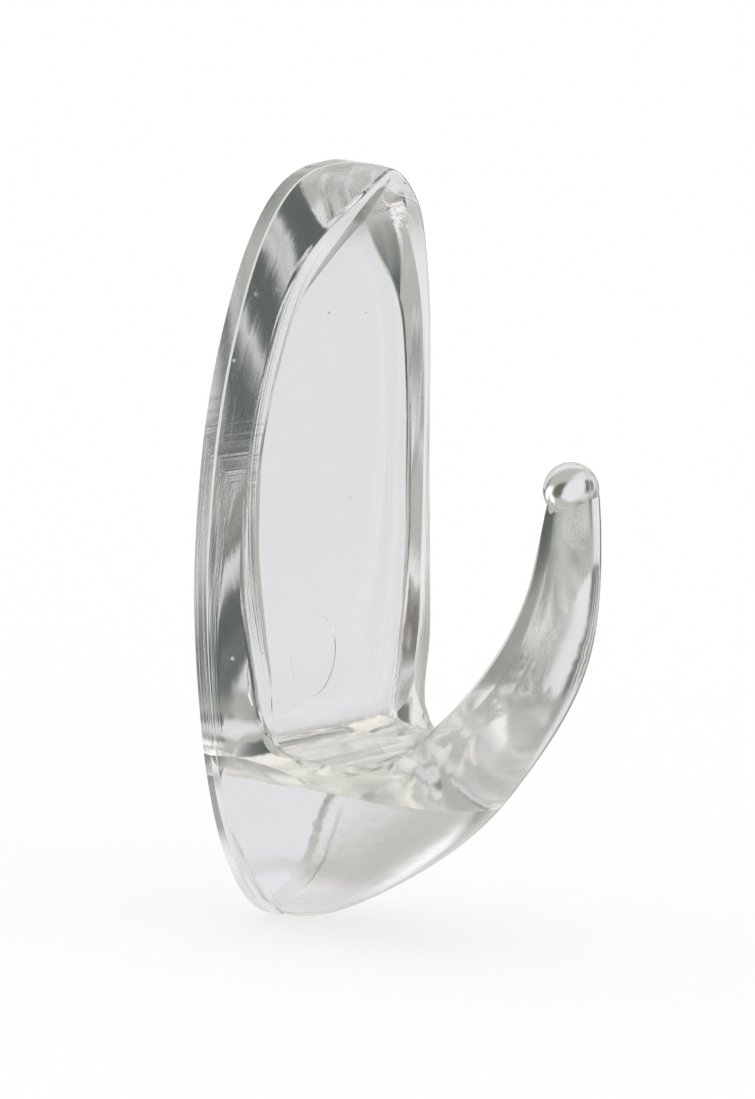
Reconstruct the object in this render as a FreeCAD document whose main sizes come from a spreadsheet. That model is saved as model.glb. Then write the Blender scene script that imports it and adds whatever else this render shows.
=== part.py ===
# Clear moulded wall hook, one piece, millimetres.
# The flat back lies in the XZ plane, the front looks along -Y and +Z is up.
# The origin is the middle of the back face.
# Side-view sizes are a pair: "out" from the wall and "up" from the bottom tip.
import FreeCAD, Part
import math
import os
from FreeCAD import Vector, Placement, Rotation

doc = FreeCAD.newDocument("WallHook")

# Driving dimensions: alias, value in millimetres (or a plain ratio), meaning.
drivingSizes = [
    ("bodyHeight", 78.0, "height of the back flange, tip to tip"),
    ("bodyWidth", 38.0, "width of the back flange at its widest"),
    ("flangeThick", 1.5, "depth of the square edge all round the back"),
    ("flangeStep", 0.15, "narrow step between the edge and the bevel"),
    ("rimBulge", 0.3, "how far the rim's bevel stands proud of a flat one"),
    ("crestTopOut", 8.0, "depth of the rim's crest at the top"),
    ("crestMidOut", 4.5, "depth of the crest's inner edge at its shallowest"),
    ("crestTilt", 0.7, "how much the crest falls away outwards, as a share of the arm's crown"),
    ("troughOut", 14.0, "distance from the wall of the trough's lowest line"),
    ("troughUp", 18.7, "height of the trough's lowest line"),
    ("keelReach", 35.75, "distance from the wall of the arm's outermost line"),
    ("armThick", 4.35, "thickness of the arm from throat to keel, at the tip"),
    ("armTipUp", 49.4, "height of the arm's end"),
    ("armCrown", 0.2, "crown of the arm's inner face"),
    ("stripWidth", 1.5, "width of the slanting strip along the trough's edge"),
    ("panelDepth", 1.5, "how far the panel lies behind the crest's inner edge"),
    ("rimRound", 0.5, "radius on the crest's outer edge and all round the panel's face"),
    ("sweepRadius", 2.6, "radius that carries the panel forward into the ledge"),
    ("ledgeRise", 0.4, "height of the ledge at the panel's foot above the trough"),
    ("coreWall", 1.6, "wall of the hollow bow under the trough"),
    ("troughFloor", 3.3, "plastic between the trough and the hollow's flat ceiling"),
    ("coreHornRise", 5.6, "height of the hollow's two upper corners above its ceiling"),
    ("knobRadius", 2.85, "radius of the ball at the arm's tip"),
    ("knobBack", 3.45, "how far the ball's centre lies behind the arm's outermost line"),
    ("knobDrop", 0.45, "how far the ball's centre lies below the arm's end"),
    ("pinMarkRadius", 4.05, "radius of the round pin mark on the back face"),
    ("pinMarkRise", 8.4, "height of the pin mark's centre above the trough"),
    ("pinMarkDepth", 0.1, "depth of the pin mark"),
]
sheet = doc.addObject("Spreadsheet::Sheet", "Dims")
for row, (alias, value, meaning) in enumerate(drivingSizes, start=1):
    sheet.set("A%d" % row, meaning)
    sheet.set("B%d" % row, str(value))
    sheet.setAlias("B%d" % row, alias)
doc.recompute()


def size(alias):
    """The value of one driving dimension."""
    return float(sheet.get(alias))


halfHeight = size("bodyHeight") / 2
halfWidth = size("bodyWidth") / 2
beyond = 6.0  # how far a cutting tool runs past what it cuts


def originPlane(body, role):
    return next(f for f in body.Origin.OriginFeatures if f.Role == role)


def newBody(name):
    body = doc.addObject("PartDesign::Body", name)
    body.Label = name
    return body


def frontSketch(body, name, out=0.0, up=0.0, tilt=0.0):
    """A sketch seen from the front: x across, y up, lying `out` from the wall and leaning by `tilt`."""
    sketch = body.newObject("Sketcher::SketchObject", name)
    sketch.AttachmentSupport = [(originPlane(body, "XZ_Plane"), "")]
    sketch.MapMode = "FlatFace"
    sketch.AttachmentOffset = Placement(Vector(0, up, out), Rotation(Vector(1, 0, 0), tilt))
    return sketch


def sideSketch(body, name, across=0.0):
    """A sketch seen from the side: x is depth towards the back, y up, at `across` from the middle."""
    sketch = body.newObject("Sketcher::SketchObject", name)
    sketch.AttachmentSupport = [(originPlane(body, "YZ_Plane"), "")]
    sketch.MapMode = "FlatFace"
    sketch.AttachmentOffset = Placement(Vector(0, 0, across), Rotation())
    return sketch


def curveThrough(points, closed=False):
    curve = Part.BSplineCurve()
    curve.interpolate(Points=points, PeriodicFlag=closed)
    return curve


def addEgg(sketch, halfPoints):
    """A closed outline, the same on both sides, from its half points (top first, bottom last)."""
    right = [Vector(x, z, 0) for x, z in halfPoints]
    left = [Vector(-x, z, 0) for x, z in reversed(halfPoints[1:-1])]
    whole = curveThrough(right + left, True)
    foot = whole.parameter(right[-1])
    for start, end in ((whole.FirstParameter, foot), (foot, whole.LastParameter)):
        half = whole.copy()
        half.segment(start, end)
        sketch.addGeometry(half, False)


def loft(body, name, profiles, ruled=False):
    feature = body.newObject("PartDesign::AdditiveLoft", name)
    feature.Profile = profiles[0]
    feature.Sections = profiles[1:]
    feature.Ruled = ruled
    feature.Closed = False
    return feature


def up(height):
    """Height above the bottom tip, as Z in the part's frame."""
    return height - halfHeight


def between(start, end, share):
    return start + share * (end - start)


crestMidUp = 0.641 * size("bodyHeight")


def heightOf(level):
    """Height of a level: -1 the bottom tip, 0 the trough, 1 the crest's shallowest place, 2 the top."""
    if level < 0:
        return between(size("troughUp"), 0, -level)
    if level < 1:
        return between(size("troughUp"), crestMidUp, level)
    return between(crestMidUp, size("bodyHeight"), level - 1)


def shaped(halfOutline):
    """A half outline given in shares of the half width and in levels, as points of the part."""
    return [(x * halfWidth, up(heightOf(level))) for x, level in halfOutline]


# Half outline of the flange: shares of the half width and of the height.
flangeHalf = [
    (0.0, 1.0),
    (0.237, 0.995),
    (0.432, 0.977),
    (0.632, 0.931),
    (0.853, 0.818),
    (0.965, 0.705),
    (1.0, 0.603),
    (0.976, 0.455),
    (0.844, 0.295),
    (0.622, 0.1436),
    (0.421, 0.0654),
    (0.224, 0.0205),
    (0.0, 0.0),
]


def flangePoints(inset=0.0):
    widthScale = halfWidth - inset
    heightScale = size("bodyHeight") - 2 * inset
    return [(share * widthScale, (level - 0.5) * heightScale) for share, level in flangeHalf]


# Back flange: a flat plate with a square edge.
flange = newBody("flange_plate")
flangeOutline = frontSketch(flange, "FlangeOutline")
addEgg(flangeOutline, flangePoints())
flangePad = flange.newObject("PartDesign::Pad", "FlangePad")
flangePad.Profile = flangeOutline
flangePad.setExpression("Length", "Dims.flangeThick")

# Rim blank: from the flange edge in to a narrower, pointed outline in front of it.
rimFrontOut = size("crestTopOut") + 0.8
rimFrontHalf = [
    (0.0, 2.008),
    (0.1, 1.979),
    (0.215, 1.911),
    (0.358, 1.816),
    (0.53, 1.577),
    (0.602, 1.262),
    (0.672, 0.96),
    (0.812, 0.569),
    (0.815, 0.25),
    (0.66, -0.024),
    (0.42, -0.326),
    (0.21, -0.476),
    (0.0, -0.519),
]
rimFrontPoints = shaped(rimFrontHalf)


def middlePoints(first, second, bulge):
    """Points half way between two outlines with the same number of points, pushed out by `bulge`."""
    points = []
    for (firstX, firstZ), (secondX, secondZ) in zip(first, second):
        away = math.hypot(firstX, firstZ)
        x = (firstX + secondX) / 2 + bulge * firstX / away
        z = (firstZ + secondZ) / 2 + bulge * firstZ / away
        points.append((x, z))
    return points


rimBackOut = size("flangeThick") - 0.5
rimBackPoints = flangePoints(size("flangeStep"))
rim = newBody("rim_blank")
rimBack = frontSketch(rim, "RimBack", rimBackOut)
addEgg(rimBack, rimBackPoints)
rimMiddle = frontSketch(rim, "RimMiddle", (rimBackOut + rimFrontOut) / 2)
addEgg(rimMiddle, middlePoints(rimBackPoints, rimFrontPoints, size("rimBulge")))
rimFront = frontSketch(rim, "RimFront", rimFrontOut)
addEgg(rimFront, rimFrontPoints)
loft(rim, "RimLoft", [rimBack, rimMiddle, rimFront])

# Inner edge of the rim's crest, from the apex down: its depth as a share from the shallowest place
# to the top, its level, its half width as a share and how much of the full tilt the crest has there.
crestInner = [
    (1.0, 1.992, 0.0, 1.0),
    (0.854, 1.893, 0.163, 1.0),
    (0.6, 1.799, 0.32, 1.0),
    (0.32, 1.671, 0.49, 1.0),
    (0.16, 1.429, 0.61, 1.0),
    (0.035, 1.142, 0.734, 1.0),
    (0.03, 0.905, 0.784, 1.0),
    (0.18, 0.681, 0.774, 1.0),
    (0.345, 0.489, 0.747, 0.93),
    (0.52, 0.297, 0.7, 0.5),
    (0.62, 0.17, 0.685, 0.1),
]
crownHalfWidth = 0.24 * halfWidth


def crownAt(across):
    """How much the arm's full crown takes away at a distance from the middle."""
    return size("armCrown") * (across / crownHalfWidth) ** 2


# Throat: everything between the rim and the arm. Its back is the shallow C of the rim's crest,
# its foot the trough and its front the arm's inner face, crowned across.
reach = size("keelReach")
tipUp = size("armTipUp")
crestTop = size("crestTopOut")
crestMid = size("crestMidOut")
troughOut = size("troughOut")
troughUp = size("troughUp")
armInner = reach - size("armThick")
throatLine = [(1.04 * crestTop, size("bodyHeight") + beyond, 0.0)]  # out, up, share of the crown
for outShare, level, halfShare, tilt in crestInner:
    fall = tilt * size("crestTilt")
    out = between(crestMid, crestTop, outShare) + fall * crownAt(halfShare * halfWidth)
    throatLine.append((out, heightOf(level), -fall))
throatLine += [
    (between(crestMid, troughOut, 0.3), heightOf(0.09), 0.0),
    (between(crestMid, troughOut, 0.415), heightOf(0.029), 0.1),
    (between(crestMid, troughOut, 0.642), heightOf(0.005), 0.2),
    (troughOut, troughUp, 0.35),
    (between(troughOut, armInner, 0.282), between(troughUp, tipUp, 0.065), 0.6),
    (between(troughOut, armInner, 0.466), between(troughUp, tipUp, 0.166), 0.9),
    (between(troughOut, armInner, 0.782), between(troughUp, tipUp, 0.43), 1.0),
    (between(troughOut, armInner, 0.945), between(troughUp, tipUp, 0.707), 1.0),
    (between(troughOut, armInner, 0.994), between(troughUp, tipUp, 1.02), 1.0),
]


def throatPoints(across):
    return [Vector(-(out + share * crownAt(across)), up(height), 0) for out, height, share in throatLine]


def addThroatProfile(body, name, across):
    points = throatPoints(across)
    corner = Vector(points[-1].x, up(size("bodyHeight") + beyond), 0)
    sketch = sideSketch(body, name, across)
    sketch.addGeometry(curveThrough(points), False)
    sketch.addGeometry(Part.LineSegment(points[-1], corner), False)
    sketch.addGeometry(Part.LineSegment(corner, points[0]), False)
    return sketch


throat = newBody("throat_tool")
throatReach = 0.75 * size("bodyWidth")
throatProfiles = [
    addThroatProfile(throat, "ThroatLeft", -throatReach),
    addThroatProfile(throat, "ThroatMiddle", 0.0),
    addThroatProfile(throat, "ThroatRight", throatReach),
]
loft(throat, "ThroatLoft", throatProfiles)

# Bow and arm: fanned sections. Each one starts at its keel point and runs to the throat's surface,
# leaning from the keel point towards its aim point. Both points are shares (of the reach, of the
# arm's height), half widths are shares of the body's half width, and the strip is a share of its
# full width.
throatEdge = curveThrough(throatPoints(0.0)).toShape()
innerClearance = 1.2  # how far a section runs on into the throat
bowSections = [
    # keel, aim, half width at the throat, at the ridge, ridge share, roundness, strip
    ((0.028, 0.005), (0.028, 0.506), 0.826, 0.737, 0.70, 1.40, 0.10),
    ((0.247, 0.036), (0.201, 0.478), 0.763, 0.700, 0.72, 1.55, 0.30),
    ((0.431, 0.114), (0.305, 0.437), 0.642, 0.621, 0.73, 1.72, 0.75),
    ((0.591, 0.204), (0.400, 0.423), 0.560, 0.545, 0.72, 1.85, 1.00),
    ((0.750, 0.334), (0.504, 0.449), 0.452, 0.434, 0.68, 1.95, 1.00),
    ((0.888, 0.482), (0.599, 0.506), 0.345, 0.336, 0.63, 2.00, 0.85),
    ((0.985, 0.652), (0.739, 0.656), 0.254, 0.256, 0.60, 2.00, 0.68),
    ((1.000, 0.832), (0.822, 0.826), 0.198, 0.205, 0.60, 2.00, 0.55),
    ((0.978, 1.000), (0.848, 0.986), 0.146, 0.150, 0.62, 2.00, 0.45),
]


def addBowSection(body, name, section, wall=0.0):
    """One section: a rounded keel, straight flanks, then the slanting strip up into the throat."""
    keel, aim, edgeShare, ridgeHalfShare, ridgeShare, roundness, stripShare = section
    keelPoint = Vector(-keel[0] * reach, up(keel[1] * tipUp), 0)
    aimPoint = Vector(-aim[0] * reach, up(aim[1] * tipUp), 0)
    direction = (aimPoint - keelPoint).normalize()
    far = aimPoint + direction * innerClearance * 2
    gap, pairs, details = throatEdge.distToShape(Part.LineSegment(keelPoint, far).toShape())
    depth = (aimPoint - keelPoint).Length
    if gap < 0.01:
        depth = (pairs[0][0] - keelPoint).Length
    keelPoint += direction * wall
    depth -= wall
    edgeHalf = edgeShare * halfWidth - wall
    ridgeHalf = ridgeHalfShare * halfWidth - wall
    ridgeHeight = ridgeShare * depth
    leg = stripShare * size("stripWidth") * math.sin(math.pi / 4)
    tilt = math.degrees(math.atan2(-direction.x, direction.y))
    sketch = frontSketch(body, name, -keelPoint.x, keelPoint.y, tilt)
    quarter = []
    for share in (0.0, 0.3, 0.58, 0.82, 0.95):
        width = ridgeHalf * (1 - share ** roundness) ** (1 / roundness)
        quarter.append(Vector(width, ridgeHeight * (1 - share), 0))
    strip = [
        Vector(edgeHalf, depth - leg, 0),
        Vector(edgeHalf - 0.42 * leg, depth - 0.42 * leg, 0),
        Vector(edgeHalf - leg, depth, 0),
        Vector(edgeHalf - leg - innerClearance, depth + innerClearance, 0),
    ]
    mirroredKeel = [Vector(-p.x, p.y, 0) for p in reversed(quarter)]
    mirroredStrip = [Vector(-p.x, p.y, 0) for p in strip]
    sketch.addGeometry(curveThrough(quarter + [Vector(0, 0, 0)] + mirroredKeel), False)
    sketch.addGeometry(Part.LineSegment(mirroredKeel[-1], mirroredStrip[0]), False)
    sketch.addGeometry(curveThrough(mirroredStrip), False)
    sketch.addGeometry(Part.LineSegment(mirroredStrip[-1], strip[-1]), False)
    sketch.addGeometry(curveThrough(strip[::-1]), False)
    sketch.addGeometry(Part.LineSegment(strip[0], quarter[0]), False)
    return sketch


arm = newBody("bow_and_arm_blank")
armProfiles = [addBowSection(arm, "ArmSection%d" % n, s) for n, s in enumerate(bowSections)]
loft(arm, "ArmLoft", armProfiles)

# Recess: the panel's outline, wider at the crest than at the floor.
recessFloorHalf = [
    (0.0, 1.65),
    (0.116, 1.618),
    (0.253, 1.568),
    (0.411, 1.486),
    (0.547, 1.357),
    (0.642, 1.212),
    (0.716, 1.053),
    (0.747, 0.905),
    (0.747, 0.745),
    (0.734, 0.584),
    (0.689, 0.392),
    (0.642, 0.281),
    (0.589, 0.185),
    (0.547, 0.105),
    (0.495, 0.041),
]
recessCrestHalf = [
    (0.0, 1.979),
    (0.179, 1.929),
    (0.358, 1.854),
    (0.568, 1.749),
    (0.705, 1.589),
    (0.789, 1.304),
    (0.832, 1.107),
    (0.837, 0.92),
    (0.837, 0.745),
    (0.8, 0.584),
    (0.763, 0.392),
    (0.726, 0.281),
    (0.716, 0.185),
    (0.716, 0.099),
    (0.679, 0.028),
]


ledgeUp = troughUp + size("ledgeRise")
recessFootUp = ledgeUp - 1.1


def addRecessOutline(sketch, halfOutline):
    """A recess outline: curved sides, a pointed top and a straight foot below the ledge."""
    points = shaped(halfOutline)
    points.append((points[-1][0] - 0.064 * halfWidth, up(recessFootUp)))
    right = [Vector(x, z, 0) for x, z in points]
    left = [Vector(-x, z, 0) for x, z in reversed(points)]
    sketch.addGeometry(curveThrough(right), False)
    sketch.addGeometry(Part.LineSegment(right[-1], left[0]), False)
    sketch.addGeometry(curveThrough(left), False)


recess = newBody("recess_tool")
recessFloor = frontSketch(recess, "RecessFloor", crestMid - 1.27 * size("panelDepth"))
addRecessOutline(recessFloor, recessFloorHalf)
recessCrest = frontSketch(recess, "RecessCrest", crestTop)
addRecessOutline(recessCrest, recessCrestHalf)
recessFront = frontSketch(recess, "RecessFront", crestTop + beyond)
addRecessOutline(recessFront, recessCrestHalf)
loft(recess, "RecessLoft", [recessFloor, recessCrest, recessFront], True)

# Side view of what the recess may take away: in front of the panel, which follows the crest, and
# above the ledge that the panel sweeps forward into.
sweep = newBody("recess_side")
sweepSketch = sideSketch(sweep, "SweepProfile", -halfWidth)
radius = size("sweepRadius")
ledgeZ = up(ledgeUp)
topZ = up(size("bodyHeight") + beyond)
frontX = -(crestTop + 2 * beyond)
panelLine = []
for outShare, level, halfShare, tilt in crestInner:
    panelOut = between(crestMid, crestTop, outShare) - size("panelDepth")
    panelLine.append(Vector(-panelOut, up(heightOf(level)), 0))
footX = panelLine[-1].x
turn = radius * (1 - math.sin(math.pi / 4))
panelLine.append(Vector(footX, ledgeZ + radius, 0))
panelLine.append(Vector(footX - turn, ledgeZ + turn, 0))
panelLine.append(Vector(footX - radius, ledgeZ, 0))
panelTop = Vector(panelLine[0].x, topZ, 0)
sweepSketch.addGeometry(curveThrough(panelLine), False)
sweepSketch.addGeometry(Part.LineSegment(panelLine[-1], Vector(frontX, ledgeZ, 0)), False)
sweepSketch.addGeometry(Part.LineSegment(Vector(frontX, ledgeZ, 0), Vector(frontX, topZ, 0)), False)
sweepSketch.addGeometry(Part.LineSegment(Vector(frontX, topZ, 0), panelTop), False)
sweepSketch.addGeometry(Part.LineSegment(panelTop, panelLine[0]), False)
sweepPad = sweep.newObject("PartDesign::Pad", "SweepPad")
sweepPad.Profile = sweepSketch
sweepPad.setExpression("Length", "Dims.bodyWidth")

# Hollow under the trough: the bow's own sections, smaller by the wall, open at the back.
core = newBody("core_blank")
behindBack = -beyond / reach
coreSections = [((behindBack, 0.005), (behindBack, 0.506), 0.837, 0.721, 0.70, 1.40, 0.10)]
coreSections += bowSections[:6]
coreProfiles = [
    addBowSection(core, "CoreSection%d" % n, s, size("coreWall")) for n, s in enumerate(coreSections)
]
loft(core, "CoreLoft", coreProfiles)

mouth = newBody("core_mouth")
mouthSketch = frontSketch(mouth, "MouthOutline", -1.0)
ceiling = troughUp - size("troughFloor")
horn = ceiling + size("coreHornRise")
mouthHalf = [
    (0.0, 0.0),
    (0.947 * halfWidth, 0.0),
    (0.947 * halfWidth, 0.65 * ceiling),
    (0.721 * halfWidth, horn),
    (0.626 * halfWidth, between(ceiling, horn, 0.39)),
    (0.453 * halfWidth, ceiling),
    (0.0, ceiling),
]
mouthRight = [Vector(x, up(z), 0) for x, z in mouthHalf]
mouthLeft = [Vector(-p.x, p.y, 0) for p in mouthRight]
mouthSketch.addGeometry(Part.LineSegment(mouthLeft[1], mouthRight[1]), False)
for side in (mouthRight, mouthLeft):
    mouthSketch.addGeometry(Part.LineSegment(side[1], side[2]), False)
    mouthSketch.addGeometry(Part.LineSegment(side[2], side[3]), False)
    mouthSketch.addGeometry(curveThrough(side[3:6]), False)
mouthSketch.addGeometry(Part.LineSegment(mouthRight[5], mouthLeft[5]), False)
mouthPad = mouth.newObject("PartDesign::Pad", "MouthPad")
mouthPad.Profile = mouthSketch
mouthPad.setExpression("Length", "Dims.keelReach")

# Ball at the tip and the round pin mark in the back face.
knob = doc.addObject("Part::Sphere", "KnobBall")
knob.setExpression("Radius", "Dims.knobRadius")
knob.setExpression(".Placement.Base.y", "Dims.knobBack - Dims.keelReach")
knob.setExpression(".Placement.Base.z", "Dims.armTipUp - Dims.knobDrop - Dims.bodyHeight / 2")

pinMark = doc.addObject("Part::Cylinder", "PinMark")
pinMark.Placement = Placement(Vector(0, 0, 0), Rotation(Vector(1, 0, 0), 90))
pinMark.setExpression("Radius", "Dims.pinMarkRadius")
pinMark.setExpression("Height", "2 * Dims.pinMarkDepth")
pinMark.setExpression(".Placement.Base.y", "Dims.pinMarkDepth")
pinMark.setExpression(".Placement.Base.z", "Dims.troughUp + Dims.pinMarkRise - Dims.bodyHeight / 2")
doc.recompute()


def joined(name, shapes):
    feature = doc.addObject("Part::MultiFuse", name)
    feature.Shapes = shapes
    return feature


def overlap(name, base, tool):
    feature = doc.addObject("Part::Common", name)
    feature.Base = base
    feature.Tool = tool
    return feature


def cutAway(name, base, tool):
    feature = doc.addObject("Part::Cut", name)
    feature.Base = base
    feature.Tool = tool
    return feature


def rounded(name, base, lowShare, highShare):
    """Rounds the long edges that run up the rim and end between two shares of the height."""
    doc.recompute()
    radius = size("rimRound")
    feature = doc.addObject("Part::Fillet", name)
    feature.Base = base
    chosen = []
    for number, edge in enumerate(base.Shape.Edges, start=1):
        box = edge.BoundBox
        clearOfFlange = -box.YMax > 1.5 * size("flangeThick")
        endsThere = lowShare < (box.ZMax + halfHeight) / size("bodyHeight") < highShare
        if edge.Length > 0.7 * size("bodyHeight") and clearOfFlange and endsThere:
            chosen.append((number, radius, radius))
    feature.Edges = chosen
    return feature


recessTool = overlap("RecessTool", recess, sweep)
coreTool = overlap("CoreTool", core, mouth)
softTool = rounded("PanelFootRound", recessTool, 0.9, 0.95)
crestedRim = rounded("CrestRound", cutAway("ThroatedRim", rim, throat), 0.96, 1.1)
throatedArm = cutAway("ThroatedArm", arm, throat)
blank = joined("Blank", [flange, crestedRim, throatedArm])
recessed = cutAway("Recessed", blank, softTool)
cored = cutAway("Cored", recessed, coreTool)
tipped = joined("Tipped", [cored, knob])
hook = cutAway("Hook", tipped, pinMark)
hook.Label = "hook_body"
doc.recompute()

for item in doc.Objects:
    if "Invalid" in item.State or "Error" in item.State:
        raise RuntimeError("%s did not build: %s" % (item.Name, item.State))
for item in (flange, rim, arm, throat, recess, sweep, core, mouth, hook):
    if item.Shape.isNull() or not item.Shape.isValid():
        raise RuntimeError("%s has no valid shape" % item.Name)
if len(hook.Shape.Solids) != 1:
    raise RuntimeError("the hook is not one solid but %d" % len(hook.Shape.Solids))
print("volume mm3", round(hook.Shape.Volume, 1), "box", hook.Shape.BoundBox)

os.makedirs("parts", exist_ok=True)
hook.Shape.exportStep("parts/%s.step" % hook.Label)
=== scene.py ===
# A clear plastic wall hook, one moulding, seen from its front left side.
import math

import bmesh
import bpy
import numpy
from mathutils import Matrix, Vector


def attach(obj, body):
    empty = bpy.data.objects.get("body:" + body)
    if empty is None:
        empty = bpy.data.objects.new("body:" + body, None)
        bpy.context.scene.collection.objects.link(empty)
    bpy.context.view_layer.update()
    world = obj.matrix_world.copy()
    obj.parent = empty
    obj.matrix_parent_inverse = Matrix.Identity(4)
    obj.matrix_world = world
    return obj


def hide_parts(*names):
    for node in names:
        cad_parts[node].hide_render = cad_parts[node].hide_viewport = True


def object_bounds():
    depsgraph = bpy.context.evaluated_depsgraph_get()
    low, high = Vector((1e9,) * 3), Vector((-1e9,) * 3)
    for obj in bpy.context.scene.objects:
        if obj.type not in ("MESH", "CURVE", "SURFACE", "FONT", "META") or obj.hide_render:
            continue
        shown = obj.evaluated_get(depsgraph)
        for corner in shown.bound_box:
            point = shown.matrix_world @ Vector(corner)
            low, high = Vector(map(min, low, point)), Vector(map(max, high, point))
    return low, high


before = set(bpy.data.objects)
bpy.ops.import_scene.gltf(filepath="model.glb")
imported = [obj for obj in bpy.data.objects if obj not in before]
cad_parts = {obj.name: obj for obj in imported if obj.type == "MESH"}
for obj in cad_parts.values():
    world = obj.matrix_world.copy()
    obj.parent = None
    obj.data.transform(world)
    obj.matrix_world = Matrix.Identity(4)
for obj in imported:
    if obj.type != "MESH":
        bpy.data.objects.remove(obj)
scene = bpy.context.scene
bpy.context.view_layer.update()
print("frame loaded:", sorted(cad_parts))


def newMaterial(name):
    material = bpy.data.materials.new(name)
    material.use_nodes = True
    material.node_tree.nodes.clear()
    return material, material.node_tree


def addNode(tree, kind, **settings):
    node = tree.nodes.new(kind)
    for key, value in settings.items():
        setattr(node, key, value)
    return node


def socketOf(sockets, identifier):
    return next(socket for socket in sockets if socket.identifier == identifier)


def feed(tree, socket, value):  # with a plain value or with another node's output
    if isinstance(value, bpy.types.NodeSocket):
        tree.links.new(value, socket)
    else:
        socket.default_value = value


def addMath(tree, operation, first, second):
    node = addNode(tree, "ShaderNodeMath", operation=operation)
    feed(tree, node.inputs[0], first)
    feed(tree, node.inputs[1], second)
    return node.outputs[0]


def addRamp(tree, value, ends, results=(0, 1)):  # goes smoothly between two results
    ramp = addNode(tree, "ShaderNodeMapRange", interpolation_type="SMOOTHSTEP")
    feed(tree, ramp.inputs["Value"], value)
    for name, setting in zip(("From Min", "From Max", "To Min", "To Max"), (*ends, *results)):
        feed(tree, ramp.inputs[name], setting)
    return ramp.outputs["Result"]


def directionOf(azimuth, elevation):  # degrees, azimuth from the front
    azimuth = math.radians(azimuth)
    elevation = math.radians(elevation)
    return (
        math.sin(azimuth) * math.cos(elevation),
        -math.cos(azimuth) * math.cos(elevation),
        math.sin(elevation),
    )


# The moulding: the solid's own mesh with its facets joined, so that its curved faces shade smoothly
hook = {
    "mergeDistance": 1e-6,  # metres
    "edgeAngle": 22,  # degrees; sharper edges stay crisp
    "outlineTurns": 180,  # directions that the outline is measured in
}


def makeHook():
    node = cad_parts["hook_body"]
    mesh = node.data.copy()
    mesh.name = "clear_hook"
    piece = bpy.data.objects.new("clear_hook", mesh)
    scene.collection.objects.link(piece)
    shape = bmesh.new()
    shape.from_mesh(mesh)
    # Each corner's own direction is kept through the merge
    facing = shape.loops.layers.float_vector.new("facing")
    for face in shape.faces:
        face.smooth = True
        for loop in face.loops:
            loop[facing] = mesh.corner_normals[loop.index].vector
    bmesh.ops.remove_doubles(shape, verts=shape.verts, dist=hook["mergeDistance"])
    limit = math.radians(hook["edgeAngle"])
    for edge in shape.edges:
        if len(edge.link_faces) == 2 and edge.calc_face_angle() > limit:
            edge.smooth = False
    directions = [tuple(loop[facing]) for face in shape.faces for loop in face.loops]
    shape.loops.layers.float_vector.remove(facing)
    shape.to_mesh(mesh)
    shape.free()
    mesh.normals_split_custom_set(directions)
    mesh.materials.clear()
    return piece


def markInset(mesh):  # how far each point lies inside the hook's outline, seen from the front
    points = numpy.empty(3 * len(mesh.vertices))
    mesh.vertices.foreach_get("co", points)
    across, _, up = points.reshape(-1, 3).T
    turns = numpy.linspace(0, 2 * math.pi, hook["outlineTurns"], endpoint=False)
    reach = numpy.outer(across, numpy.cos(turns)) + numpy.outer(up, numpy.sin(turns))
    inset = (reach.max(axis=0) - reach).min(axis=1)
    mesh.attributes.new("inset", "FLOAT", "POINT").data.foreach_set("value", inset)


clearHook = makeHook()
markInset(clearHook.data)
print("hook mesh:", len(clearHook.data.polygons), "faces")

# Clear plastic. Lengths are in metres, pattern scales per metre
plastic = {
    "colour": (1, 1, 1, 1),
    "ior": 1.53,
    "roughness": 0.07,
    "armRoughness": 0.10,
    "armPlace": (-0.011, -0.017),  # out from the wall: the arm's finish starts, and is reached
    "depthColour": (0.52, 0.56, 0.53, 1),
    "depthDensity": 4.5,
    "scuffRoughness": 0.16,
    "scuffs": {"stretch": (1, 1, 0.35), "scale": 2600, "detail": 1},
    "scuffShare": (0.62, 0.78),  # of the pattern: a scuff starts, and is full
    "flowLines": {"stretch": (1, 1, 0.06), "scale": 1500, "detail": 2},
    "flowLineHeight": 6e-7,
    "rimLineScale": 1400,
    "rimLineHeight": 5e-5,
    "rimLineInset": (0.0065, 0.0045),  # the lines fade out from the rim to the panel
    "rimLineUp": (-0.022, -0.017),  # and from the rim down to the bow
}


def addPattern(tree, place, pattern):  # noise, stretched along the hook's height by a share under 1
    stretch = addNode(tree, "ShaderNodeMapping")
    stretch.inputs["Scale"].default_value = pattern["stretch"]
    tree.links.new(place, stretch.inputs["Vector"])
    noise = addNode(tree, "ShaderNodeTexNoise")
    noise.inputs["Scale"].default_value = pattern["scale"]
    noise.inputs["Detail"].default_value = pattern["detail"]
    tree.links.new(stretch.outputs["Vector"], noise.inputs["Vector"])
    return noise.outputs["Fac"]


def addFinish(tree, place):  # polished, softer on the arm, with small scuffs
    parts = addNode(tree, "ShaderNodeSeparateXYZ")
    tree.links.new(place, parts.inputs["Vector"])
    finishes = (plastic["roughness"], plastic["armRoughness"])
    arm = addRamp(tree, parts.outputs["Y"], plastic["armPlace"], finishes)
    scuffs = addPattern(tree, place, plastic["scuffs"])
    return addRamp(tree, scuffs, plastic["scuffShare"], (arm, plastic["scuffRoughness"]))


def addRimLines(tree, place):  # fine drawn lines that run along the rim
    inset = addNode(tree, "ShaderNodeAttribute", attribute_name="inset").outputs["Fac"]
    noise = addNode(tree, "ShaderNodeTexNoise", noise_dimensions="1D")
    noise.inputs["Scale"].default_value = plastic["rimLineScale"]
    tree.links.new(inset, noise.inputs["W"])
    parts = addNode(tree, "ShaderNodeSeparateXYZ")
    tree.links.new(place, parts.inputs["Vector"])
    rim = addRamp(tree, inset, plastic["rimLineInset"])
    share = addMath(tree, "MULTIPLY", rim, addRamp(tree, parts.outputs["Z"], plastic["rimLineUp"]))
    return addMath(tree, "MULTIPLY", noise.outputs["Fac"], share)


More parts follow.
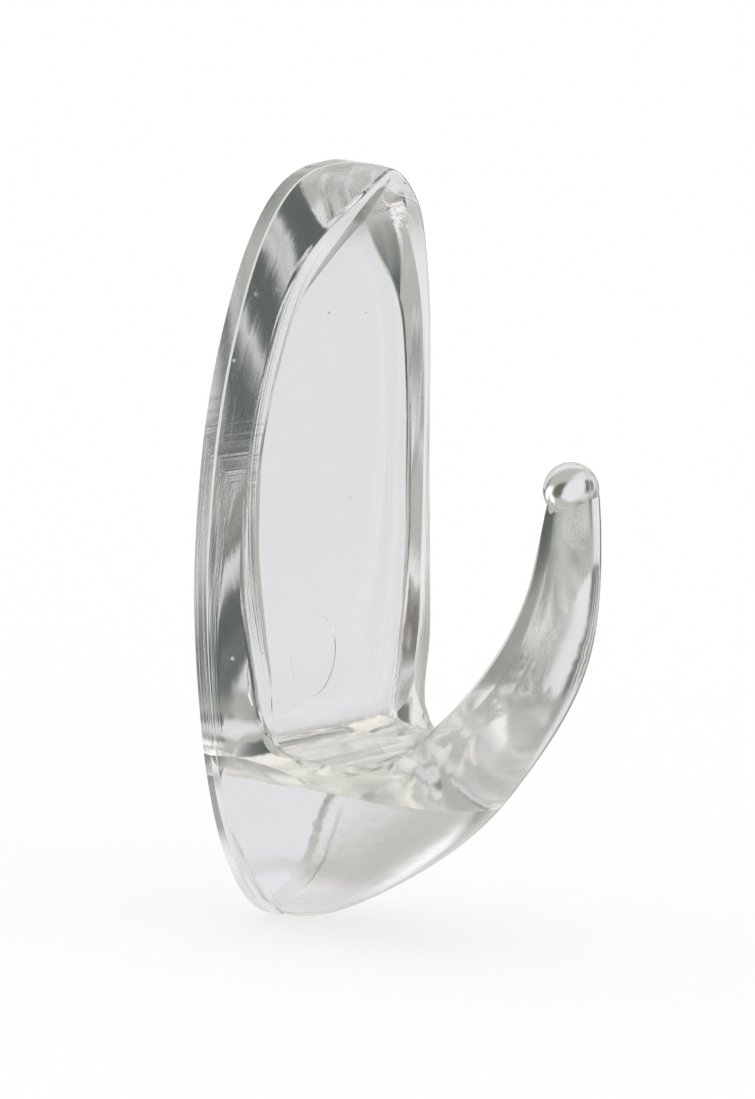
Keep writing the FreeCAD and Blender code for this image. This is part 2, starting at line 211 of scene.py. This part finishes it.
def makePlastic():
    material, tree = newMaterial("clear_plastic")
    shader = addNode(tree, "ShaderNodeBsdfPrincipled")
    shader.inputs["Base Color"].default_value = plastic["colour"]
    place = addNode(tree, "ShaderNodeTexCoord").outputs["Object"]
    tree.links.new(addFinish(tree, place), shader.inputs["Roughness"])
    flow = addNode(tree, "ShaderNodeBump")
    flow.inputs["Distance"].default_value = plastic["flowLineHeight"]
    tree.links.new(addPattern(tree, place, plastic["flowLines"]), flow.inputs["Height"])
    rimLines = addNode(tree, "ShaderNodeBump")
    rimLines.inputs["Distance"].default_value = plastic["rimLineHeight"]
    tree.links.new(addRimLines(tree, place), rimLines.inputs["Height"])
    tree.links.new(flow.outputs["Normal"], rimLines.inputs["Normal"])
    tree.links.new(rimLines.outputs["Normal"], shader.inputs["Normal"])
    shader.inputs["IOR"].default_value = plastic["ior"]
    shader.inputs["Transmission Weight"].default_value = 1.0
    absorption = addNode(tree, "ShaderNodeVolumeAbsorption")
    absorption.inputs["Color"].default_value = plastic["depthColour"]
    absorption.inputs["Density"].default_value = plastic["depthDensity"]
    output = addNode(tree, "ShaderNodeOutputMaterial")
    tree.links.new(absorption.outputs["Volume"], output.inputs["Volume"])
    tree.links.new(shader.outputs["BSDF"], output.inputs["Surface"])
    return material


clearHook.data.materials.append(makePlastic())
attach(clearHook, "root")
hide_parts("hook_body")
print("plastic done")

# Bubbles: the few small voids in the rim and the panel, which show as specks. Metres
bubbles = {
    "radius": 0.00018,
    "smallest": 0.6,  # shares of the radius
    "largest": 1.2,
    "seed": 4,
    "rounds": 3,  # how finely each ball is divided
    "ior": 1 / plastic["ior"],  # air, seen from inside the plastic
    "haze": {"stretch": (1, 1, 1), "scale": 9000, "detail": 1},
    "places": [
        (-0.0164, -0.0014, 0.0201),
        (-0.0172, -0.0013, 0.0085),
        (-0.0145, -0.0030, -0.0102),
        (-0.0141, -0.0055, -0.0095),
        (-0.0015, -0.0012, 0.0239),
        (0.0052, -0.0012, 0.0039),
        (0.0054, -0.0012, 0.0233),
    ],
}


def makeAir():
    material, tree = newMaterial("bubble_air")
    shader = addNode(tree, "ShaderNodeBsdfPrincipled")
    shader.inputs["IOR"].default_value = bubbles["ior"]
    shader.inputs["Transmission Weight"].default_value = 1.0
    place = addNode(tree, "ShaderNodeTexCoord").outputs["Object"]
    haze = addMath(tree, "MULTIPLY", addPattern(tree, place, bubbles["haze"]), plastic["roughness"])
    tree.links.new(haze, shader.inputs["Roughness"])
    output = addNode(tree, "ShaderNodeOutputMaterial")
    tree.links.new(shader.outputs["BSDF"], output.inputs["Surface"])
    return material


def makeBubbleTree(material):  # a ball of its own size at every point
    tree = bpy.data.node_groups.new("bubbles", "GeometryNodeTree")
    tree.interface.new_socket("Geometry", in_out="INPUT", socket_type="NodeSocketGeometry")
    radius = tree.interface.new_socket("Radius", in_out="INPUT", socket_type="NodeSocketFloat")
    seed = tree.interface.new_socket("Seed", in_out="INPUT", socket_type="NodeSocketInt")
    tree.interface.new_socket("Geometry", in_out="OUTPUT", socket_type="NodeSocketGeometry")
    start = addNode(tree, "NodeGroupInput")
    ball = addNode(tree, "GeometryNodeMeshIcoSphere")
    ball.inputs["Subdivisions"].default_value = bubbles["rounds"]
    tree.links.new(start.outputs["Radius"], ball.inputs["Radius"])
    size = addNode(tree, "FunctionNodeRandomValue", data_type="FLOAT")
    socketOf(size.inputs, "Min_001").default_value = bubbles["smallest"]
    socketOf(size.inputs, "Max_001").default_value = bubbles["largest"]
    tree.links.new(start.outputs["Seed"], size.inputs["Seed"])
    spread = addNode(tree, "GeometryNodeInstanceOnPoints")
    tree.links.new(start.outputs["Geometry"], spread.inputs["Points"])
    tree.links.new(ball.outputs["Mesh"], spread.inputs["Instance"])
    tree.links.new(socketOf(size.outputs, "Value_001"), spread.inputs["Scale"])
    real = addNode(tree, "GeometryNodeRealizeInstances")
    tree.links.new(spread.outputs["Instances"], real.inputs["Geometry"])
    smooth = addNode(tree, "GeometryNodeSetShadeSmooth")
    tree.links.new(real.outputs["Geometry"], smooth.inputs["Geometry"])
    finish = addNode(tree, "GeometryNodeSetMaterial")
    finish.inputs["Material"].default_value = material
    tree.links.new(smooth.outputs["Geometry"], finish.inputs["Geometry"])
    end = addNode(tree, "NodeGroupOutput")
    tree.links.new(finish.outputs["Geometry"], end.inputs["Geometry"])
    return tree, radius.identifier, seed.identifier


def makeBubbles():
    points = bpy.data.meshes.new("bubbles")
    points.from_pydata(bubbles["places"], [], [])
    piece = bpy.data.objects.new("bubbles", points)
    scene.collection.objects.link(piece)
    tree, radius, seed = makeBubbleTree(makeAir())
    modifier = piece.modifiers.new("bubbles", "NODES")
    modifier.node_group = tree
    modifier[radius] = bubbles["radius"]
    modifier[seed] = bubbles["seed"]
    finished = piece.evaluated_get(bpy.context.evaluated_depsgraph_get())
    mesh = bpy.data.meshes.new_from_object(finished)
    piece.modifiers.remove(modifier)
    piece.data = mesh
    return piece


airBubbles = makeBubbles()
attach(airBubbles, "root")
print("bubbles done:", len(airBubbles.data.polygons), "faces")

# Camera: where the photograph was taken from. Degrees, metres, and millimetres for lens and sensor
camera = {
    "azimuth": -56.9,
    "elevation": 9.9,
    "roll": 4.22,
    "distance": 1.5,
    "shiftRight": 0.007985,
    "shiftDown": 0.001214,
    "lens": 481.5,
    "sensorWidth": 36,
    "nearest": 0.05,
    "farthest": 20,
}


def makeCamera():
    azimuth = math.radians(camera["azimuth"])
    roll = math.radians(camera["roll"])
    back = Vector(directionOf(camera["azimuth"], camera["elevation"]))
    level = Vector((math.cos(azimuth), math.sin(azimuth), 0))
    upright = back.cross(level)
    right = math.cos(roll) * level + math.sin(roll) * upright
    up = math.cos(roll) * upright - math.sin(roll) * level
    data = bpy.data.cameras.new("camera")
    data.sensor_width = camera["sensorWidth"]
    data.lens = camera["lens"]
    data.clip_start = camera["nearest"]
    data.clip_end = camera["farthest"]
    body = bpy.data.objects.new("camera", data)
    scene.collection.objects.link(body)
    place = back * camera["distance"] + right * camera["shiftRight"] - up * camera["shiftDown"]
    turn = Matrix((right, up, back)).transposed().to_4x4()
    body.matrix_world = Matrix.Translation(place) @ turn
    scene.camera = body


makeCamera()
print("camera done")

# Studio: a grey tent with cards and openings. Each one faces a direction (azimuth from the front,
# elevation) and fades between two angles from its middle. Rays that pass straight through one wall
# of the plastic show pale paper instead, except towards what lies behind the hook in the photograph.
studio = {
    "tentColour": (0.46, 0.46, 0.43, 1),
    "openings": {
        # azimuth, elevation, inner angle, outer angle, colour
        "roof": (-29, 79, 50, 60, (0.95, 0.92, 0.84, 1)),
        "left card": (-107, 18, 10, 50, (0.88, 0.86, 0.84, 1)),
        "table in front": (-8, -56, 22, 38, (1.12, 1.10, 1.09, 1)),
        "table below": (0, -90, 12, 26, (0.72, 0.71, 0.72, 1)),
        "wall board": (157, 9, 19, 30, (0.26, 0.26, 0.23, 1)),
        "table edge": (40, -37, 15, 23, (0.30, 0.29, 0.26, 1)),
        "right card": (79, 6, 11, 19, (1.15, 1.15, 1.15, 1)),
        "right gap": (50, -7, 10, 23, (0.05, 0.07, 0.06, 1)),
        "table behind": (139, -29, 23, 37, (0.76, 0.75, 0.77, 1)),
        "card's edge": (98, -7, 5, 13, (0.10, 0.10, 0.08, 1)),
        "gap behind": (146, -20, 9, 18, (0.13, 0.12, 0.10, 1)),
        "paper behind": (121, -11, 12, 19, (0.80, 0.79, 0.81, 1)),
    },
    "background": (1, 1, 1, 1),
    "paper": (0.80, 0.79, 0.81, 1),
    "paperFrom": (118, -5, 50, 62),  # azimuth, elevation, and the angles that the paper fades in between
    "straightBounces": 2.5,  # a ray goes in and comes out in two
    "floorSize": 3.0,  # metres
    "floorGap": 0.0002,
    "floorGlow": 0.65,
    "floorColour": (0.46, 0.46, 0.46, 1),
    "bounces": 64,
}


def addFade(tree, direction, azimuth, elevation, inner, outer):  # 1 near a direction, 0 away from it
    dot = addNode(tree, "ShaderNodeVectorMath", operation="DOT_PRODUCT")
    tree.links.new(direction, dot.inputs[0])
    dot.inputs[1].default_value = directionOf(azimuth, elevation)
    ends = (math.cos(math.radians(outer)), math.cos(math.radians(inner)))
    return addRamp(tree, dot.outputs["Value"], ends)


def addMix(tree, factor, first, second):
    mix = addNode(tree, "ShaderNodeMix", data_type="RGBA")
    for name, value in (("Factor_Float", factor), ("A_Color", first), ("B_Color", second)):
        feed(tree, socketOf(mix.inputs, name), value)
    return socketOf(mix.outputs, "Result_Color")


def addTentColour(tree, direction):  # the tent's colour towards a direction
    colour = studio["tentColour"]
    for *place, openingColour in studio["openings"].values():
        colour = addMix(tree, addFade(tree, direction, *place), colour, openingColour)
    rays = addNode(tree, "ShaderNodeLightPath")
    straight = addMath(tree, "LESS_THAN", rays.outputs["Ray Depth"], studio["straightBounces"])
    away = addMath(tree, "SUBTRACT", 1.0, addFade(tree, direction, *studio["paperFrom"]))
    return addMix(tree, addMath(tree, "MULTIPLY", straight, away), colour, studio["paper"])


def makeWorld():
    world = bpy.data.worlds.new("studio")
    scene.world = world
    world.use_nodes = True
    tree = world.node_tree
    tree.nodes.clear()
    place = addNode(tree, "ShaderNodeTexCoord")
    tent = addNode(tree, "ShaderNodeBackground")
    tree.links.new(addTentColour(tree, place.outputs["Generated"]), tent.inputs["Color"])
    paper = addNode(tree, "ShaderNodeBackground")
    paper.inputs["Color"].default_value = studio["background"]
    rays = addNode(tree, "ShaderNodeLightPath")
    choose = addNode(tree, "ShaderNodeMixShader")
    tree.links.new(rays.outputs["Is Camera Ray"], choose.inputs["Fac"])
    tree.links.new(tent.outputs["Background"], choose.inputs[1])
    tree.links.new(paper.outputs["Background"], choose.inputs[2])
    output = addNode(tree, "ShaderNodeOutputWorld")
    tree.links.new(choose.outputs["Shader"], output.inputs["Surface"])


def makeFloor():  # pale paper to the camera, the tent's colours to rays that come through the plastic
    half = studio["floorSize"] / 2
    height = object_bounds()[0].z - studio["floorGap"]
    mesh = bpy.data.meshes.new("floor")
    corners = [(-half, -half, height), (half, -half, height), (half, half, height), (-half, half, height)]
    mesh.from_pydata(corners, [], [(0, 1, 2, 3)])
    floor = bpy.data.objects.new("floor", mesh)
    scene.collection.objects.link(floor)
    material, tree = newMaterial("pale_floor")
    place = addNode(tree, "ShaderNodeTexCoord")
    direction = addNode(tree, "ShaderNodeVectorMath", operation="NORMALIZE")
    tree.links.new(place.outputs["Object"], direction.inputs[0])
    seenThrough = addNode(tree, "ShaderNodeEmission")
    tree.links.new(addTentColour(tree, direction.outputs["Vector"]), seenThrough.inputs["Color"])
    paper = addNode(tree, "ShaderNodeBsdfDiffuse")
    paper.inputs["Color"].default_value = studio["floorColour"]
    glow = addNode(tree, "ShaderNodeEmission")
    glow.inputs["Strength"].default_value = studio["floorGlow"]
    seenDirectly = addNode(tree, "ShaderNodeAddShader")
    tree.links.new(paper.outputs["BSDF"], seenDirectly.inputs[0])
    tree.links.new(glow.outputs["Emission"], seenDirectly.inputs[1])
    rays = addNode(tree, "ShaderNodeLightPath").outputs
    fromPlastic = addMath(tree, "MAXIMUM", rays["Is Transmission Ray"], rays["Is Glossy Ray"])
    choose = addNode(tree, "ShaderNodeMixShader")
    tree.links.new(fromPlastic, choose.inputs["Fac"])
    tree.links.new(seenDirectly.outputs["Shader"], choose.inputs[1])
    tree.links.new(seenThrough.outputs["Emission"], choose.inputs[2])
    output = addNode(tree, "ShaderNodeOutputMaterial")
    tree.links.new(choose.outputs["Shader"], output.inputs["Surface"])
    mesh.materials.append(material)


makeWorld()
makeFloor()
scene.cycles.max_bounces = studio["bounces"]
scene.cycles.transmission_bounces = studio["bounces"]
scene.cycles.glossy_bounces = studio["bounces"]
print("studio done")

scene.view_settings.view_transform = "Standard"
